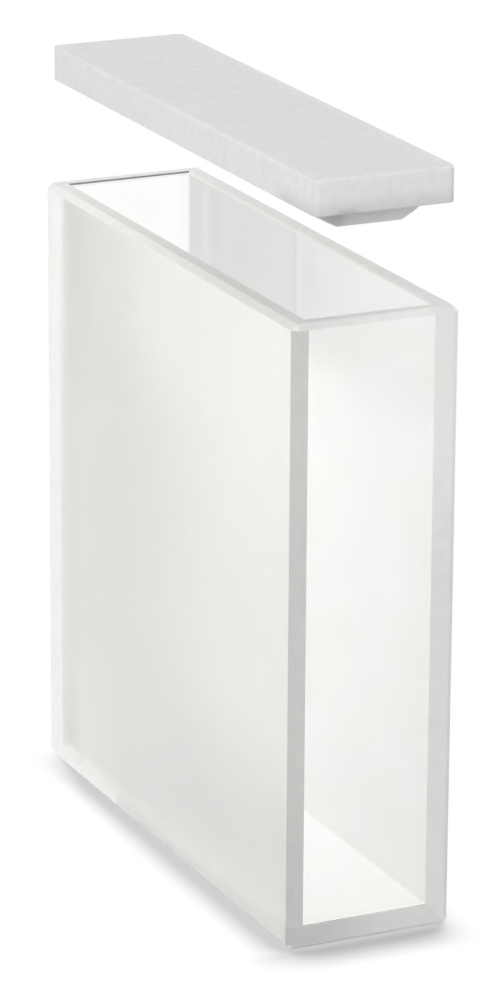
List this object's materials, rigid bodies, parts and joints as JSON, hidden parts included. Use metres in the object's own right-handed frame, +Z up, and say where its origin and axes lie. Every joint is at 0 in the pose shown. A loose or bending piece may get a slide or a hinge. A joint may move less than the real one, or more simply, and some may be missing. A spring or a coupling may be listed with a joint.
{
  "type": "cuvette",
  "caption": "Rectangular quartz glass cell for optical measurement, open at the top, with clear end windows and ground side walls, and a white plastic lid lifted above its mouth.",
  "frame": {"origin": "middle of the cell's underside, on the surface it stands on", "axes": "+X along the light path towards the front window, +Y across the width towards a ground side wall, +Z up out of the open mouth"},
  "size_m": [0.0446, 0.0126, 0.055],
  "materials": {
    "cell": "fused quartz, polished windows, fine-ground side walls, base and rim",
    "lid": "machined PTFE, matt white"
  },
  "bodies": {
    "root": {"cell": "cell", "lid": "lid"}
  },
  "joints": []
}
